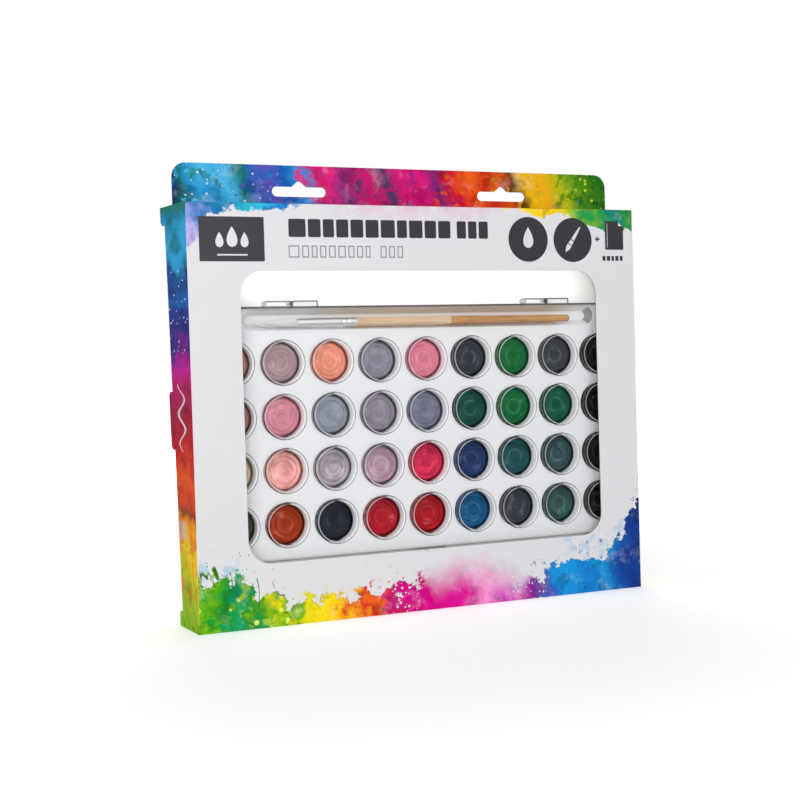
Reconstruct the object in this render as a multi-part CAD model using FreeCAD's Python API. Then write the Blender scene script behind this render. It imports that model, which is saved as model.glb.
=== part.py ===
"""Watercolour pan set in its window carton, standing upright, front towards -Y.

Millimetres, +Z up.  X = 0 is the middle of the carton, Z = 0 is the carton's underside, and Y = 0 is
halfway between the printed front and the ends of the lock tabs.  Depths are measured back from the
printed front face, so every depth d is at y = FRONT_Y + d.
"""
import FreeCAD
import Part
import math
import os

V = FreeCAD.Vector
ALONG_X = V(1, 0, 0)
ALONG_Y = V(0, 1, 0)

# ---- carton: printed front tray with a window, and a back card with a hang header ----
CARTON_WIDTH = 275.0
CARTON_HEIGHT = 227.5
CARTON_DEPTH = 28.0            # printed front to the front of the back card
BOARD = 0.6                    # folded carton board
FOLD_RADIUS = 0.5
FLARE_TOP = 0.15               # the side walls spring outwards: sideways per unit of depth, at the top
FLARE_BOTTOM = 0.045           # and at the bottom
TAB_REACH = 5.0                # lock tabs stand this far behind the side walls
TAB_SPANS = [(0.0, 8.5), (96.5, 128.0), (217.5, 227.5)]   # lowest and highest z of each lock tab
TAB_CHAMFER = 1.8
WINDOW_LEFT = 28.5             # from the carton's left edge
WINDOW_RIGHT = 248.1
WINDOW_BOTTOM = 34.4
WINDOW_TOP = 191.2
WINDOW_RADIUS = 13.0

BACK_BOARD = 0.8
HEADER_TOP = 252.0
HEADER_INSET = 0.8
HEADER_RADIUS = 8.0
NOTCH_DEPTH = 1.0              # edge notches that the lock tabs tuck into
HANG_SPACING = 128.0           # between the two hang slots
HANG_Z = 237.4
HANG_LENGTH = 32.0
HANG_HEIGHT = 5.6
HANG_BUMP_WIDTH = 8.6
HANG_BUMP_RISE = 3.0

CARD_GAP = 0.3                 # air between the carton's two pieces, and round what lies inside

# ---- loose contents behind and below the paint case ----
SHEET_COUNT = 5
SHEET_WIDTH = 260.0
SHEET_HEIGHT = 205.0
SHEET_THICKNESS = 0.4
SHEET_PITCH = 0.48
SHEET_BACK = 27.6              # depth of the rearmost sheet's back
RISER_WIDTH = 268.0
RISER_FRONT = 2.0
RISER_BACK = 22.5

# ---- paint case: white tray and clear lid, hinged along the top ----
CASE_CENTRE_X = 1.5
CASE_WIDTH = 265.0
CASE_BOTTOM = 33.0
CASE_TOP = 172.2
CASE_RADIUS = 6.0
CASE_WALL = 1.2
LID_FRONT = 2.0                # depths
LID_BACK = 9.2
TRAY_FRONT = 9.5
DECK_FRONT = 9.8
TRAY_BACK = 22.5
LIP_FRONT = 8.4                # low lip inside the lid's wall, on the sides and bottom
LIP_INSET = 1.5
LIP_WALL = 1.0

EAR_WIDTH = 15.2
LID_EARS = [-93.7, 65.6]       # left end of each clear ear, from the carton's middle
EAR_STEP = 16.7                # from a clear ear's left end to its white neighbour's
HINGE_DEPTH = 11.2
HINGE_Z = 174.0
TRAY_EAR_RADIUS = 1.7
LID_EAR_RADIUS = 1.5
PIN_RADIUS = 0.8
PIN_CLEARANCE = 0.05
PIN_LENGTH = 7.0               # how far a pin reaches into the white ear
TONGUE_WIDTH = 20.0            # closing tongue in the middle of the lid's bottom wall
TONGUE_REACH = 4.6

# ---- brush groove, above the pans ----
GROOVE_LEFT = -105.6
GROOVE_RIGHT = 114.6
GROOVE_Z = 165.2
GROOVE_HALF = 5.7              # half its height at the deck
GROOVE_FLOOR_HALF = 2.7
GROOVE_DEPTH = 5.3

# ---- pans ----
PAN_COLUMNS = 9
PAN_PITCH_X = 28.65
FIRST_COLUMN_X = -113.2
ROW_Z = {"a": 141.9, "b": 112.5, "c": 83.1, "d": 53.7}
RIM_FRONT = 4.3                # depths
PAINT_FRONT = 10.6
PAINT_BACK = 15.2
CUP_BACK = 16.0
CUP_INNER = 11.0
CUP_OUTER = 11.9
BODY_OUTER = 11.7
RIM_OUTER = 12.6
RIM_HEIGHT = 1.1
FLANGE_OUTER = 12.9
FLANGE_HEIGHT = 0.8
WELL_RADIUS = 11.85            # hole in the tray for each cup
PAINT_RADIUS = 10.8
PAINT_EDGE = 1.7               # width of the rounded edge of the cake, and how far it falls back
PAINT_FALL = 1.4
PAINT_RING = 7.6               # radius of the pressed step in the middle of the cake
PAINT_STEP = 0.45
PAINT_RIDGE = 4.2              # radius of the low ridge pressed round the middle
PAINT_DIMPLE = 0.9

PAINTS = {
    "a": ["rose_brown", "mauve_grey", "salmon_orange", "stone_grey", "rose_pink",
          "charcoal", "leaf_green", "slate_grey", "lamp_black"],
    "b": ["dusty_brown", "dusty_pink", "blue_grey", "plum_grey", "violet_grey",
          "pine_green", "grass_green", "forest_green", "warm_black"],
    "c": ["olive_beige", "coral_pink", "lilac_grey", "pale_mauve", "crimson_rose",
          "navy_blue", "deep_teal", "slate_teal", "brown_black"],
    "d": ["olive_brown", "burnt_orange", "blue_black", "carmine_red", "bright_red",
          "sea_blue", "graphite", "sea_green", "deep_black"],
}

# ---- brushes: distances run from the tip of the hair towards the end of the handle ----
BRUSH_LENGTH = 190.0
HAIR_LENGTH = 19.0
FERRULE_LENGTH = 35.0
FERRULE_RADIUS = 2.3
TENON_RADIUS = 1.8
TENON_LENGTH = 11.0
HANDLE_RADIUS = 2.4
HANDLE_END_RADIUS = 2.0
BRUSH_PLACES = {1: (-94.8, 6.0, 163.6), 2: (-100.5, 11.0, 163.2)}   # tip x, depth, z

# ---- clear tape tab that seals the left side ----
TAPE_SPAN = (48.5, 58.5)
TAPE_FRONT = 14.0
TAPE_BACK = 33.0
TAPE_THICKNESS = 0.15

HALF_WIDTH = CARTON_WIDTH / 2
FRONT_Y = -(CARTON_DEPTH + TAB_REACH) / 2


def block(x0, x1, depth0, depth1, z0, z1):
    return Part.makeBox(x1 - x0, depth1 - depth0, z1 - z0, V(x0, FRONT_Y + depth0, z0))


def face_of(edges):
    return Part.Face(Part.Wire(edges))


def rounded_outline(x0, x1, z0, z1, radius, depth):
    """Edges of an upright rectangle with four rounded corners."""
    y = FRONT_Y + depth
    corners = [(x1 - radius, z1 - radius, 0), (x0 + radius, z1 - radius, 90),
               (x0 + radius, z0 + radius, 180), (x1 - radius, z0 + radius, 270)]
    edges = []
    ends = []
    for x, z, start in corners:
        points = []
        for turn in (0, 45, 90):
            a = math.radians(start + turn)
            points.append(V(x + radius * math.cos(a), y, z + radius * math.sin(a)))
        edges.append(Part.Arc(*points).toShape())
        ends.append((points[0], points[2]))
    outline = []
    for i in range(len(edges)):
        outline.append(edges[i])
        stop = ends[i][1]
        following = ends[(i + 1) % len(ends)][0]
        if stop.distanceToPoint(following) > 1e-6:
            outline.append(Part.LineSegment(stop, following).toShape())
    return outline


def rounded_plate(x0, x1, z0, z1, radius, depth0, depth1):
    outline = rounded_outline(x0, x1, z0, z1, radius, depth0)
    return face_of(outline).extrude(ALONG_Y * (depth1 - depth0))


def turned(profile, x, z):
    """Solid turned about a line along Y through (x, z); the profile lists (radius, depth)."""
    points = [V(x + radius, FRONT_Y + depth, z) for radius, depth in profile]
    wire = Part.makePolygon(points + [points[0]])
    return Part.Face(wire).revolve(V(x, 0, z), ALONG_Y, 360)


def turned_along_x(profile, depth, z):
    """Solid turned about a line along X; the profile lists (x, radius)."""
    points = [V(x, FRONT_Y + depth, z + radius) for x, radius in profile]
    wire = Part.makePolygon(points + [points[0]])
    return Part.Face(wire).revolve(V(0, FRONT_Y + depth, z), ALONG_X, 360)


def rod_along_x(x0, x1, radius, depth, z):
    return Part.makeCylinder(radius, x1 - x0, V(x0, FRONT_Y + depth, z), ALONG_X)


# ---------------------------------------------------------------- carton

def flare(side, depth, z):
    """X of a side wall's outer face: it leans outwards, more at the top than at the bottom."""
    slope = FLARE_BOTTOM + (FLARE_TOP - FLARE_BOTTOM) * z / CARTON_HEIGHT
    return side * (HALF_WIDTH + slope * depth)


def side_wall(side):
    """A leaning side wall, with its rear edge cut back between the lock tabs."""
    reach = CARTON_DEPTH + TAB_REACH
    wires = []
    for z in (0, CARTON_HEIGHT):
        outer_front = V(flare(side, 0, z), FRONT_Y, z)
        outer_back = V(flare(side, reach, z), FRONT_Y + reach, z)
        inwards = V(-side * BOARD, 0, 0)
        corners = [outer_front, outer_back, outer_back + inwards, outer_front + inwards]
        wires.append(Part.makePolygon(corners + [corners[0]]))
    wall = Part.makeLoft(wires, True, True)
    x0 = -HALF_WIDTH - 2 * BOARD - FLARE_TOP * reach
    for (low, high), (next_low, _) in zip(TAB_SPANS, TAB_SPANS[1:]):
        inner = FRONT_Y + CARTON_DEPTH - CARD_GAP
        outer = FRONT_Y + reach
        outline = [V(x0, inner, high), V(x0, outer - TAB_CHAMFER, high),
                   V(x0, outer, high - TAB_CHAMFER), V(x0, outer + 1, high - TAB_CHAMFER),
                   V(x0, outer + 1, next_low + TAB_CHAMFER), V(x0, outer, next_low + TAB_CHAMFER),
                   V(x0, outer - TAB_CHAMFER, next_low), V(x0, inner, next_low)]
        cutter = Part.Face(Part.makePolygon(outline + [outline[0]])).extrude(ALONG_X * (-2 * x0))
        wall = wall.cut(cutter)
    return wall


def carton_front():
    wall_depth = CARTON_DEPTH - CARD_GAP
    tray = block(-HALF_WIDTH, HALF_WIDTH, 0, BOARD, 0, CARTON_HEIGHT)
    for z in (0, CARTON_HEIGHT - BOARD):
        tray = tray.fuse(block(-HALF_WIDTH, HALF_WIDTH, 0, wall_depth, z, z + BOARD))
    for side in (-1, 1):
        tray = tray.fuse(side_wall(side))
    window = rounded_plate(WINDOW_LEFT - HALF_WIDTH, WINDOW_RIGHT - HALF_WIDTH,
                           WINDOW_BOTTOM, WINDOW_TOP, WINDOW_RADIUS, -1, BOARD + 1)
    tray = tray.cut(window).removeSplitter()
    folds = [edge for edge in tray.Edges
             if abs(edge.BoundBox.YMin - FRONT_Y) < 1e-3 and abs(edge.BoundBox.YMax - FRONT_Y) < 1e-3
             and edge.Length > CARTON_HEIGHT - 1]
    return tray.makeFillet(FOLD_RADIUS, folds)


def hang_slot(x):
    """A long round-ended slot with a small hump in the middle of its upper edge."""
    half = HANG_HEIGHT / 2
    reach = HANG_LENGTH / 2
    depth0 = CARTON_DEPTH - 1
    depth1 = CARTON_DEPTH + BACK_BOARD + 1
    slot = rounded_plate(x - reach, x + reach, HANG_Z - half, HANG_Z + half, half - 0.001, depth0, depth1)
    y = FRONT_Y + depth0
    foot = HANG_BUMP_WIDTH / 2
    crest = foot * 0.35
    top = HANG_Z + half + HANG_BUMP_RISE
    left_foot = V(x - foot, y, HANG_Z + half - 0.01)
    right_foot = V(x + foot, y, HANG_Z + half - 0.01)
    left_crest = V(x - crest, y, top - crest * 0.4)
    right_crest = V(x + crest, y, top - crest * 0.4)
    hump = face_of([
        Part.LineSegment(left_foot, left_crest).toShape(),
        Part.Arc(left_crest, V(x, y, top), right_crest).toShape(),
        Part.LineSegment(right_crest, right_foot).toShape(),
        Part.LineSegment(right_foot, left_foot).toShape(),
    ])
    return slot.fuse(hump.extrude(ALONG_Y * (depth1 - depth0)))


def back_card():
    half = HALF_WIDTH - HEADER_INSET
    depth0 = CARTON_DEPTH
    depth1 = CARTON_DEPTH + BACK_BOARD
    card = rounded_plate(-half, half, CARTON_HEIGHT / 2, HEADER_TOP, HEADER_RADIUS, depth0, depth1)
    card = card.fuse(block(-half, half, depth0, depth1, 0, HEADER_TOP - HEADER_RADIUS))
    for x in (-HANG_SPACING / 2, HANG_SPACING / 2):
        card = card.cut(hang_slot(x))
    for side in (-1, 1):
        for low, high in TAB_SPANS:
            outer = side * (HALF_WIDTH + 1)
            inner = side * (half - NOTCH_DEPTH)
            card = card.cut(block(min(outer, inner), max(outer, inner), depth0 - 1, depth1 + 1,
                                  low - CARD_GAP, high + CARD_GAP))
    return card.removeSplitter()


def tape_tab():
    """Clear tape on the outside of the left wall, reaching past its rear edge."""
    low, high = TAPE_SPAN
    middle = (low + high) / 2
    wires = []
    for z in (low, high):
        front_x = flare(-1, TAPE_FRONT, middle) - 0.2
        back_x = flare(-1, TAPE_BACK, middle) - 0.2
        front = V(front_x, FRONT_Y + TAPE_FRONT, z)
        back = V(back_x, FRONT_Y + TAPE_BACK, z)
        outwards = V(-TAPE_THICKNESS, 0, 0)
        corners = [front, back, back + outwards, front + outwards]
        wires.append(Part.makePolygon(corners + [corners[0]]))
    return Part.makeLoft(wires, True, True)


# ---------------------------------------------------------------- loose contents

def paper_sheet(number):
    back = SHEET_BACK - (number - 1) * SHEET_PITCH
    bottom = BOARD + CARD_GAP
    return block(-SHEET_WIDTH / 2, SHEET_WIDTH / 2, back - SHEET_THICKNESS, back,
                 bottom, bottom + SHEET_HEIGHT)


def inner_riser():
    """Card folded into a square tube, which holds the paint case up."""
    bottom = BOARD + CARD_GAP
    top = CASE_BOTTOM - CARD_GAP
    outer = block(-RISER_WIDTH / 2, RISER_WIDTH / 2, RISER_FRONT, RISER_BACK, bottom, top)
    inner = block(-RISER_WIDTH / 2 - 1, RISER_WIDTH / 2 + 1, RISER_FRONT + BOARD, RISER_BACK - BOARD,
                  bottom + BOARD, top - BOARD)
    return outer.cut(inner)


# ---------------------------------------------------------------- paint case

def case_plate(inset, depth0, depth1):
    half = CASE_WIDTH / 2 - inset
    return rounded_plate(CASE_CENTRE_X - half, CASE_CENTRE_X + half, CASE_BOTTOM + inset,
                         CASE_TOP - inset, CASE_RADIUS - inset, depth0, depth1)


def groove_loft(margin):
    """The brush groove: a trough with sloping sides and rounded ends."""
    wires = []
    for half, depth in ((GROOVE_HALF, DECK_FRONT), (GROOVE_FLOOR_HALF, DECK_FRONT + GROOVE_DEPTH)):
        slope_in = GROOVE_HALF - half
        grown = half + margin
        outline = rounded_outline(GROOVE_LEFT + slope_in - margin, GROOVE_RIGHT - slope_in + margin,
                                  GROOVE_Z - grown, GROOVE_Z + grown, grown - 0.001,
                                  depth + margin * (depth > DECK_FRONT))
        wires.append(Part.Wire(outline))
    return Part.makeLoft(wires, True, True)


def pan_places(row):
    return [(FIRST_COLUMN_X + column * PAN_PITCH_X, ROW_Z[row]) for column in range(PAN_COLUMNS)]


def ear_block(x0, radius, depth0, z0):
    """A hinge ear: a round bar on the hinge line with a web down to its wall."""
    bar = rod_along_x(x0, x0 + EAR_WIDTH, radius, HINGE_DEPTH, HINGE_Z)
    web = block(x0, x0 + EAR_WIDTH, depth0, HINGE_DEPTH, z0, HINGE_Z + radius)
    ear = bar.fuse(web).removeSplitter()
    tall = [edge for edge in ear.Edges
            if abs(edge.BoundBox.ZMax - HINGE_Z - radius) < 1e-4 and edge.BoundBox.XLength < 1e-6
            and edge.BoundBox.YLength > 0.5 and edge.BoundBox.ZLength < 1e-6]
    return ear.makeFillet(1.0, tall)


def paint_tray():
    tray = case_plate(0, TRAY_FRONT, TRAY_BACK)
    tray = tray.cut(case_plate(CASE_WALL, TRAY_FRONT - 1, DECK_FRONT))
    tray = tray.cut(case_plate(CASE_WALL, DECK_FRONT + CASE_WALL, TRAY_BACK + 1))
    lip = case_plate(LIP_INSET, LIP_FRONT, DECK_FRONT + 0.5)
    lip = lip.cut(case_plate(LIP_INSET + LIP_WALL, LIP_FRONT - 1, DECK_FRONT + 1))
    lip = lip.cut(block(-HALF_WIDTH, HALF_WIDTH, 0, CARTON_DEPTH, GROOVE_Z - GROOVE_HALF - 1, CASE_TOP + 1))
    tray = tray.fuse(lip)
    trough = groove_loft(1.0).cut(block(-HALF_WIDTH, HALF_WIDTH, 0, DECK_FRONT,
                                        CASE_BOTTOM, CASE_TOP))
    below_top = block(-HALF_WIDTH, HALF_WIDTH, 0, CARTON_DEPTH, CASE_BOTTOM, CASE_TOP)
    tray = tray.fuse(trough.common(below_top)).cut(groove_loft(0.0))
    for row in ROW_Z:
        for x, z in pan_places(row):
            well = Part.makeCylinder(WELL_RADIUS, 2 * CASE_WALL + 1, V(x, FRONT_Y + DECK_FRONT - 1, z), ALONG_Y)
            tray = tray.cut(well)
    for left in LID_EARS:
        x0 = left + EAR_STEP
        ear = ear_block(x0, TRAY_EAR_RADIUS, TRAY_FRONT, CASE_TOP - 0.5)
        bore = rod_along_x(x0 - 1, x0 + PIN_LENGTH + 0.5, PIN_RADIUS + PIN_CLEARANCE, HINGE_DEPTH, HINGE_Z)
        tray = tray.fuse(ear).cut(bore)
    half = TONGUE_WIDTH / 2 + CARD_GAP
    notch = block(CASE_CENTRE_X - half, CASE_CENTRE_X + half, TRAY_FRONT - 1,
                  LID_BACK + TONGUE_REACH + CARD_GAP, CASE_BOTTOM - 1, CASE_BOTTOM + CASE_WALL + CARD_GAP)
    return tray.cut(notch).removeSplitter()


def clear_lid():
    lid = case_plate(0, LID_FRONT, LID_BACK)
    lid = lid.cut(case_plate(CASE_WALL, LID_FRONT + CASE_WALL, LID_BACK + 1))
    for x0 in LID_EARS:
        ear = ear_block(x0, LID_EAR_RADIUS, HINGE_DEPTH - 6, HINGE_Z - LID_EAR_RADIUS)
        foot = block(x0, x0 + EAR_WIDTH, HINGE_DEPTH - 6, LID_BACK, CASE_TOP - 0.5, HINGE_Z)
        pin = rod_along_x(x0 + EAR_WIDTH - 1, x0 + EAR_STEP + PIN_LENGTH, PIN_RADIUS, HINGE_DEPTH, HINGE_Z)
        lid = lid.fuse(ear).fuse(foot).fuse(pin)
    half = TONGUE_WIDTH / 2
    tongue = block(CASE_CENTRE_X - half, CASE_CENTRE_X + half, LID_BACK - 1, LID_BACK + TONGUE_REACH,
                   CASE_BOTTOM, CASE_BOTTOM + CASE_WALL)
    return lid.fuse(tongue).removeSplitter()


# ---------------------------------------------------------------- pans

def pan_cup(x, z):
    """Clear cup: a bead round its rim, and a flange that sits on the tray."""
    bead = 0.35
    profile = [
        (0, CUP_BACK),
        (BODY_OUTER - 1.5, CUP_BACK),
        (BODY_OUTER - 0.4, CUP_BACK - 1.5),
        (BODY_OUTER, DECK_FRONT),
        (FLANGE_OUTER, DECK_FRONT),
        (FLANGE_OUTER, DECK_FRONT - FLANGE_HEIGHT + bead),
        (FLANGE_OUTER - bead, DECK_FRONT - FLANGE_HEIGHT),
        (CUP_OUTER, DECK_FRONT - FLANGE_HEIGHT),
        (CUP_OUTER, RIM_FRONT + RIM_HEIGHT),
        (RIM_OUTER, RIM_FRONT + RIM_HEIGHT - bead),
        (RIM_OUTER, RIM_FRONT + bead),
        (RIM_OUTER - bead, RIM_FRONT),
        (CUP_INNER + bead, RIM_FRONT),
        (CUP_INNER, RIM_FRONT + bead),
        (CUP_INNER, PAINT_BACK),
        (0, PAINT_BACK),
    ]
    return turned(profile, x, z)


def paint_cake(x, z):
    """Pressed cake: rounded edge, flat outer ring, raised round middle with a ridge and a dimple."""
    raised = PAINT_FRONT - PAINT_STEP
    edge = [(PAINT_RADIUS - PAINT_EDGE * (1 - math.sin(a)), PAINT_FRONT + PAINT_FALL * (1 - math.cos(a)))
            for a in (math.radians(turn) for turn in (90, 72, 54, 36, 18, 0))]
    profile = [(0, PAINT_BACK - 0.05), (PAINT_RADIUS, PAINT_BACK - 0.05)] + edge + [
        (PAINT_RING + 0.3, PAINT_FRONT),
        (PAINT_RING + 0.1, PAINT_FRONT - 0.12),
        (PAINT_RING - 0.2, raised + 0.1),
        (PAINT_RING - 0.7, raised),
        (PAINT_RIDGE + 0.7, raised),
        (PAINT_RIDGE + 0.3, raised - 0.2),
        (PAINT_RIDGE - 0.3, raised - 0.2),
        (PAINT_RIDGE - 0.7, raised),
        (PAINT_DIMPLE + 0.4, raised),
        (PAINT_DIMPLE, raised + 0.15),
        (0, raised + 0.25),
    ]
    return turned(profile, x, z)


# ---------------------------------------------------------------- brushes

def brush_pieces(number):
    tip, depth, z = BRUSH_PLACES[number]
    hair_end = tip + HAIR_LENGTH
    ferrule_end = hair_end + FERRULE_LENGTH
    handle_end = tip + BRUSH_LENGTH
    root = hair_end + TENON_LENGTH
    hair = turned_along_x([
        (tip, 0), (tip + 0.5, 0.5), (tip + 3, 1.25), (tip + 8, 2.0), (tip + 13, 2.2),
        (hair_end - 0.05, 1.95), (hair_end - 0.05, TENON_RADIUS), (root, TENON_RADIUS), (root, 0),
    ], depth, z)
    crimp = 0.25
    ferrule = turned_along_x([
        (hair_end, TENON_RADIUS + 0.05), (hair_end, FERRULE_RADIUS - 0.25),
        (hair_end + 12, FERRULE_RADIUS), (ferrule_end - 9, FERRULE_RADIUS),
        (ferrule_end - 8.4, FERRULE_RADIUS - crimp), (ferrule_end - 7.8, FERRULE_RADIUS),
        (ferrule_end - 6, FERRULE_RADIUS), (ferrule_end - 5.4, FERRULE_RADIUS - crimp),
        (ferrule_end - 4.8, FERRULE_RADIUS), (ferrule_end, FERRULE_RADIUS),
        (ferrule_end, TENON_RADIUS + 0.05),
    ], depth, z)
    handle = turned_along_x([
        (ferrule_end - TENON_LENGTH, 0), (ferrule_end - TENON_LENGTH, TENON_RADIUS),
        (ferrule_end + 0.05, TENON_RADIUS), (ferrule_end + 0.05, FERRULE_RADIUS - 0.1),
        (ferrule_end + 12, HANDLE_RADIUS), (ferrule_end + 40, HANDLE_RADIUS),
        (handle_end - 30, HANDLE_END_RADIUS), (handle_end - 1.2, HANDLE_END_RADIUS),
        (handle_end - 0.4, HANDLE_END_RADIUS - 0.5), (handle_end, HANDLE_END_RADIUS - 1.3),
        (handle_end, 0),
    ], depth, z)
    return {"bristles": hair, "ferrule": ferrule, "handle": handle}


# ---------------------------------------------------------------- all nodes

def build():
    nodes = {
        "carton_front": carton_front(),
        "back_card": back_card(),
        "tape_tab": tape_tab(),
        "inner_riser": inner_riser(),
        "paint_tray": paint_tray(),
        "clear_lid": clear_lid(),
    }
    for number in range(1, SHEET_COUNT + 1):
        nodes["paper_sheet_%d" % number] = paper_sheet(number)
    for row, names in PAINTS.items():
        places = pan_places(row)
        nodes["pan_cups_row_%s" % row] = Part.makeCompound([pan_cup(x, z) for x, z in places])
        for column, (x, z) in enumerate(places, start=1):
            nodes["paint_%s%d_%s" % (row, column, names[column - 1])] = paint_cake(x, z)
    for number in BRUSH_PLACES:
        for piece, shape in brush_pieces(number).items():
            nodes["brush_%d_%s" % (number, piece)] = shape
    return nodes


def main():
    os.makedirs("parts", exist_ok=True)
    for name, shape in build().items():
        if not shape.isValid():
            raise ValueError("%s is not a valid shape" % name)
        box = shape.BoundBox
        shape.exportStep("parts/%s.step" % name)
        print("%-26s %9.1f mm3  solids %d  x %.1f..%.1f  y %.1f..%.1f  z %.1f..%.1f" % (
            name, shape.Volume, len(shape.Solids), box.XMin, box.XMax, box.YMin, box.YMax,
            box.ZMin, box.ZMax))


main()
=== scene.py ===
"""Looks of the watercolour pan set: printed window carton, clear cased pans, brushes and paper."""
import math
import random
from types import SimpleNamespace

import bmesh
import bpy
from mathutils import Matrix, Vector


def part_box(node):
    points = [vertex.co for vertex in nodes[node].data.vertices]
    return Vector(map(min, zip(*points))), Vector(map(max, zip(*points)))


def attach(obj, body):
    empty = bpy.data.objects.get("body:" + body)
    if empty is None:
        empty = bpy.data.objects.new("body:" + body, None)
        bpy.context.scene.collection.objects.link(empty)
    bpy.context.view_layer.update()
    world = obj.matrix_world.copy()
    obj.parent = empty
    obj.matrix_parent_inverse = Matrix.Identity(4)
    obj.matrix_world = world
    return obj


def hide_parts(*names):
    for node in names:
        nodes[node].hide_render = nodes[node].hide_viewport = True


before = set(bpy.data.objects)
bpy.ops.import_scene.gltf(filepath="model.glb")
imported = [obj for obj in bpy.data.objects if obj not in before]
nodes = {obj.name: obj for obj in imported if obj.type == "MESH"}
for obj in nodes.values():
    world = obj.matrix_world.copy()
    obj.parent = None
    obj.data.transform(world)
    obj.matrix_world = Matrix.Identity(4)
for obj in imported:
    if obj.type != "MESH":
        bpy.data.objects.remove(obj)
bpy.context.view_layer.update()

MM = 0.001

# ---- places that the CAD model settles, in millimetres ----
FRONT_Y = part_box("carton_front")[0].y / MM
CARTON_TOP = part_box("carton_front")[1].z / MM
HALF_WIDTH = 137.5
FLARE_BOTTOM = 0.045           # how far the side walls lean out for each millimetre of depth
FLARE_TOP = 0.15
BOARD = 0.62                   # just over the folded board's thickness
WINDOW_TOP = 191.2

FIRST_COLUMN_X = -113.2
PAN_PITCH_X = 28.65
PAN_PITCH_Z = 29.4
ROW_Z = {"a": 141.9, "b": 112.5, "c": 83.1, "d": 53.7}
COLUMNS = 9
DECK = 9.8                     # depths behind the printed front
RIM = 4.3
CUP_BACK = 16.0
PAINT_BACK = 15.2
CUP_BORE = 11.0                # radii of the cups
CUP_WELL = 11.7
CUP_WALL = 11.9
CUP_LIP = 12.6
CUP_FLANGE = 12.9
CASE_TOP = 172.2
GROOVE_DEPTH = 5.3
GROOVE_Z = 165.2
CLEAR_EARS = (-93.7, 65.6)     # left ends of the lid's hinge ears, and of the tray's
WHITE_EARS = (-77.0, 82.3)
EAR_WIDTH = 15.2
CLEAR_EAR_TOP = 175.5
WHITE_EAR_TOP = 175.7

CAKE_COLOURS = {               # red, green and blue of linear light, in percent
    "rose_brown": (56, 27, 22), "mauve_grey": (42, 28, 30), "salmon_orange": (88, 31, 21),
    "stone_grey": (27, 26, 31), "rose_pink": (76, 22, 31), "charcoal": (3.3, 3.8, 5.1),
    "leaf_green": (0.2, 13.5, 2.8), "slate_grey": (4.3, 4.8, 5.8), "lamp_black": (0.3, 0.3, 0.3),
    "dusty_brown": (52, 25, 22), "dusty_pink": (68, 26, 33), "blue_grey": (28, 31, 36),
    "plum_grey": (29, 25, 31), "violet_grey": (19, 20, 28), "pine_green": (0.4, 6.8, 4.5),
    "grass_green": (0.2, 13.5, 4), "forest_green": (0.4, 9.2, 5), "warm_black": (0.5, 0.3, 0.2),
    "olive_beige": (72, 64, 42), "coral_pink": (90, 38, 35), "lilac_grey": (41, 35, 40),
    "pale_mauve": (45, 29, 36), "crimson_rose": (63, 2, 7.5), "navy_blue": (1, 3, 10.5),
    "deep_teal": (0.8, 7.2, 7.5), "slate_teal": (2.8, 7, 8), "brown_black": (0.4, 0.3, 0.2),
    "olive_brown": (12, 8.5, 4), "burnt_orange": (35, 3, 0.2), "blue_black": (1, 1.3, 2.3),
    "carmine_red": (44, 0.6, 2), "bright_red": (40, 0.3, 1), "sea_blue": (0.2, 8.5, 21),
    "graphite": (3.5, 4.1, 5.5), "sea_green": (2.7, 8, 7), "deep_black": (0.6, 0.4, 0.3),
}


# ---- node trees ----

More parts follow.
